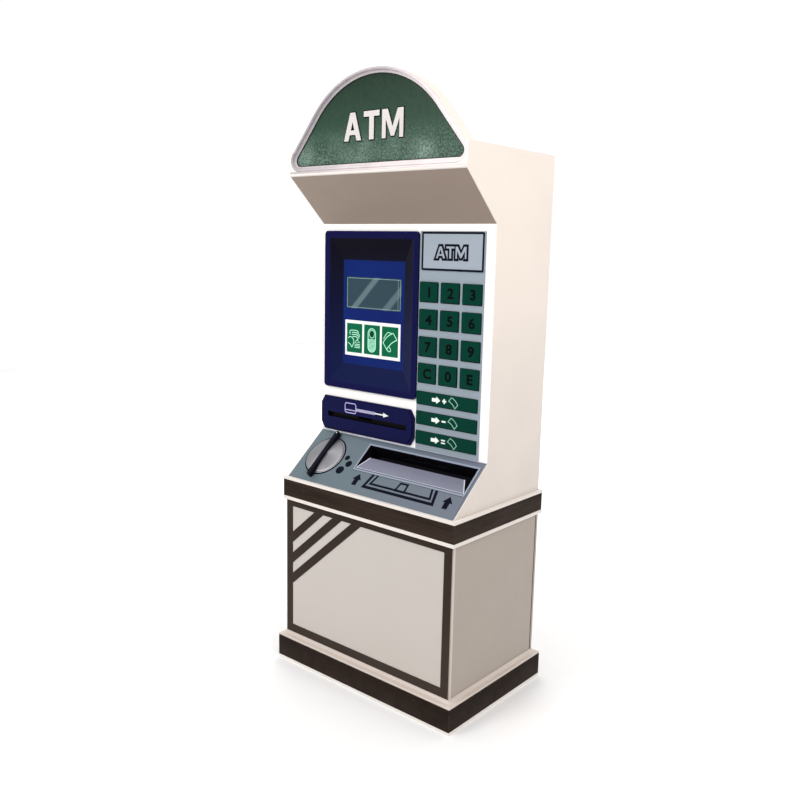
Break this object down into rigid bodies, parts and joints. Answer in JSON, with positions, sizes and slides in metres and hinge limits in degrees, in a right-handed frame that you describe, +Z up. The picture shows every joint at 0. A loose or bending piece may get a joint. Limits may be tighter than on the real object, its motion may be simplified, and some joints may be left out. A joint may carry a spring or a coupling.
{
  "type": "atm machine",
  "caption": "Free-standing cash machine with arched sign, framed screen, green keys, card slot, knob and cash tray in a sloped console.",
  "frame": {"origin": "centre of the footprint, on the floor", "axes": "+Z up, -Y towards the user, +X towards the keypad side"},
  "size_m": [0.782, 0.522, 2.017],
  "materials": {
    "cream_paint": "satin",
    "cream_trim": "satin",
    "timber_trim": "painted, satin",
    "dark_timber": "dark stain, satin lacquer",
    "dark_trim": "satin",
    "grey_steel": "brushed",
    "dark_grip": "satin",
    "console_paint": "satin",
    "keypad_paint": "satin",
    "navy_plastic": "gloss, fine moulded texture",
    "display_glass": "gloss",
    "sign_plastic": "gloss, mottled",
    "white_plastic": "satin",
    "key_plastic": "satin gloss",
    "knob_metal": "spun, satin",
    "flap_metal": "anodised",
    "tray_steel": "satin",
    "black_plastic": "fine texture",
    "circuit_board": "matt",
    "lamp_tube": "frosted",
    "rubber_black": "matt",
    "case_plastic": "fine texture"
  },
  "bodies": {
    "root": {"base_plate": "cream_trim", "plinth_band": "dark_timber", "plinth_moulding": "timber_trim", "lower_side_left": "cream_paint", "lower_side_right": "cream_paint", "front_panel": "cream_paint", "front_trim": "dark_trim", "waist_band": "dark_timber", "waist_trims": "timber_trim", "deck_plate": "grey_steel", "safe_body": "grey_steel", "door_hinges": "grey_steel", "cash_cassettes": "black_plastic", "dispenser": "case_plastic", "upper_side_left": "cream_paint", "upper_side_right": "cream_paint", "roof_panel": "cream_paint", "soffit_panel": "cream_paint", "fascia_panel": "cream_paint", "console_panel": "console_paint", "sign_box": "cream_trim", "sign_rim": "cream_trim", "sign_face": "sign_plastic", "sign_lamps": "lamp_tube", "screen_bezel": "navy_plastic", "display_glass": "display_glass", "display_module": "case_plastic", "pictogram_panel": "white_plastic", "card_bezel": "navy_plastic", "card_reader": "black_plastic", "keypad_panel": "keypad_paint", "keypad_badge": "keypad_paint", "keypad_board": "circuit_board", "cash_tray": "tray_steel", "computer": "case_plastic"},
    "safe_door": {"safe_door": "cream_paint"},
    "safe_handle": {"safe_handle": "dark_grip"},
    "safe_bolts": {"safe_bolts": "grey_steel"},
    "rear_door": {"rear_door": "cream_paint"},
    "rear_latch": {"rear_latch": "dark_grip"},
    "knob": {"knob": "knob_metal", "knob_bar": "dark_grip"},
    "cash_flap": {"cash_flap": "flap_metal"},
    "feed_roller": {"feed_roller": "rubber_black"},
    "pinch_roller": {"pinch_roller": "rubber_black"},
    "key_1": {"key_1": "key_plastic"},
    "key_2": {"key_2": "key_plastic"},
    "key_3": {"key_3": "key_plastic"},
    "key_4": {"key_4": "key_plastic"},
    "key_5": {"key_5": "key_plastic"},
    "key_6": {"key_6": "key_plastic"},
    "key_7": {"key_7": "key_plastic"},
    "key_8": {"key_8": "key_plastic"},
    "key_9": {"key_9": "key_plastic"},
    "key_clear": {"key_clear": "key_plastic"},
    "key_0": {"key_0": "key_plastic"},
    "key_enter": {"key_enter": "key_plastic"},
    "key_plus": {"key_plus": "key_plastic"},
    "key_minus": {"key_minus": "key_plastic"},
    "key_equals": {"key_equals": "key_plastic"}
  },
  "joints": [
    {"name": "safe_door_swing", "type": "hinge", "parent": "root", "child": "safe_door", "pos_m": [-0.362, 0.2475, 0.339], "axis": [0, 0, 1], "range_deg": [0, 110]},
    {"name": "safe_bolts_slide", "type": "slide", "parent": "safe_door", "child": "safe_bolts", "axis": [1, 0, 0], "range_m": [0, 0.016]},
    {"name": "safe_handle_turn", "type": "hinge", "parent": "safe_door", "child": "safe_handle", "pos_m": [0.21, 0.24, 0.339], "axis": [0, 1, 0], "range_deg": [0, 90]},
    {"name": "rear_door_swing", "type": "hinge", "parent": "root", "child": "rear_door", "pos_m": [-0.359, 0.2475, 1.23], "axis": [0, 0, 1], "range_deg": [0, 110]},
    {"name": "rear_latch_turn", "type": "hinge", "parent": "rear_door", "child": "rear_latch", "pos_m": [0.33, 0.24, 1.23], "axis": [0, 1, 0], "range_deg": [0, 90]},
    {"name": "knob_turn", "type": "hinge", "parent": "root", "child": "knob", "pos_m": [-0.266, -0.15161, 0.75614], "axis": [0, -0.6563, 0.7545], "range_deg": [-135, 135]},
    {"name": "cash_flap_swing", "type": "hinge", "parent": "root", "child": "cash_flap", "pos_m": [0, -0.16068, 0.74296], "axis": [1, 0, 0], "range_deg": [-35, 4], "stiffness_Nm_per_rad": 1, "springref_deg": 2.86},
    {"name": "feed_roller_spin", "type": "hinge", "parent": "root", "child": "feed_roller", "pos_m": [0.12, -0.05169, 0.78832], "axis": [1, 0, 0], "continuous": true},
    {"name": "pinch_roller_spin", "type": "hinge", "parent": "root", "child": "pinch_roller", "pos_m": [0.12, -0.06521, 0.80386], "axis": [1, 0, 0], "continuous": true},
    {"name": "key_1_press", "type": "slide", "parent": "root", "child": "key_1", "axis": [0, 1, 0], "range_m": [0, 0.0028], "stiffness_N_per_m": 350, "springref_m": -0.001},
    {"name": "key_2_press", "type": "slide", "parent": "root", "child": "key_2", "axis": [0, 1, 0], "range_m": [0, 0.0028], "stiffness_N_per_m": 350, "springref_m": -0.001},
    {"name": "key_3_press", "type": "slide", "parent": "root", "child": "key_3", "axis": [0, 1, 0], "range_m": [0, 0.0028], "stiffness_N_per_m": 350, "springref_m": -0.001},
    {"name": "key_4_press", "type": "slide", "parent": "root", "child": "key_4", "axis": [0, 1, 0], "range_m": [0, 0.0028], "stiffness_N_per_m": 350, "springref_m": -0.001},
    {"name": "key_5_press", "type": "slide", "parent": "root", "child": "key_5", "axis": [0, 1, 0], "range_m": [0, 0.0028], "stiffness_N_per_m": 350, "springref_m": -0.001},
    {"name": "key_6_press", "type": "slide", "parent": "root", "child": "key_6", "axis": [0, 1, 0], "range_m": [0, 0.0028], "stiffness_N_per_m": 350, "springref_m": -0.001},
    {"name": "key_7_press", "type": "slide", "parent": "root", "child": "key_7", "axis": [0, 1, 0], "range_m": [0, 0.0028], "stiffness_N_per_m": 350, "springref_m": -0.001},
    {"name": "key_8_press", "type": "slide", "parent": "root", "child": "key_8", "axis": [0, 1, 0], "range_m": [0, 0.0028], "stiffness_N_per_m": 350, "springref_m": -0.001},
    {"name": "key_9_press", "type": "slide", "parent": "root", "child": "key_9", "axis": [0, 1, 0], "range_m": [0, 0.0028], "stiffness_N_per_m": 350, "springref_m": -0.001},
    {"name": "key_clear_press", "type": "slide", "parent": "root", "child": "key_clear", "axis": [0, 1, 0], "range_m": [0, 0.0028], "stiffness_N_per_m": 350, "springref_m": -0.001},
    {"name": "key_0_press", "type": "slide", "parent": "root", "child": "key_0", "axis": [0, 1, 0], "range_m": [0, 0.0028], "stiffness_N_per_m": 350, "springref_m": -0.001},
    {"name": "key_enter_press", "type": "slide", "parent": "root", "child": "key_enter", "axis": [0, 1, 0], "range_m": [0, 0.0028], "stiffness_N_per_m": 350, "springref_m": -0.001},
    {"name": "key_plus_press", "type": "slide", "parent": "root", "child": "key_plus", "axis": [0, 1, 0], "range_m": [0, 0.0028], "stiffness_N_per_m": 350, "springref_m": -0.001},
    {"name": "key_minus_press", "type": "slide", "parent": "root", "child": "key_minus", "axis": [0, 1, 0], "range_m": [0, 0.0028], "stiffness_N_per_m": 350, "springref_m": -0.001},
    {"name": "key_equals_press", "type": "slide", "parent": "root", "child": "key_equals", "axis": [0, 1, 0], "range_m": [0, 0.0028], "stiffness_N_per_m": 350, "springref_m": -0.001}
  ],
  "couplings": [
    {"joint": "safe_handle_turn", "follows": "safe_bolts_slide", "rad_per_m": 98.1},
    {"joint": "pinch_roller_spin", "follows": "feed_roller_spin", "ratio": -1}
  ]
}
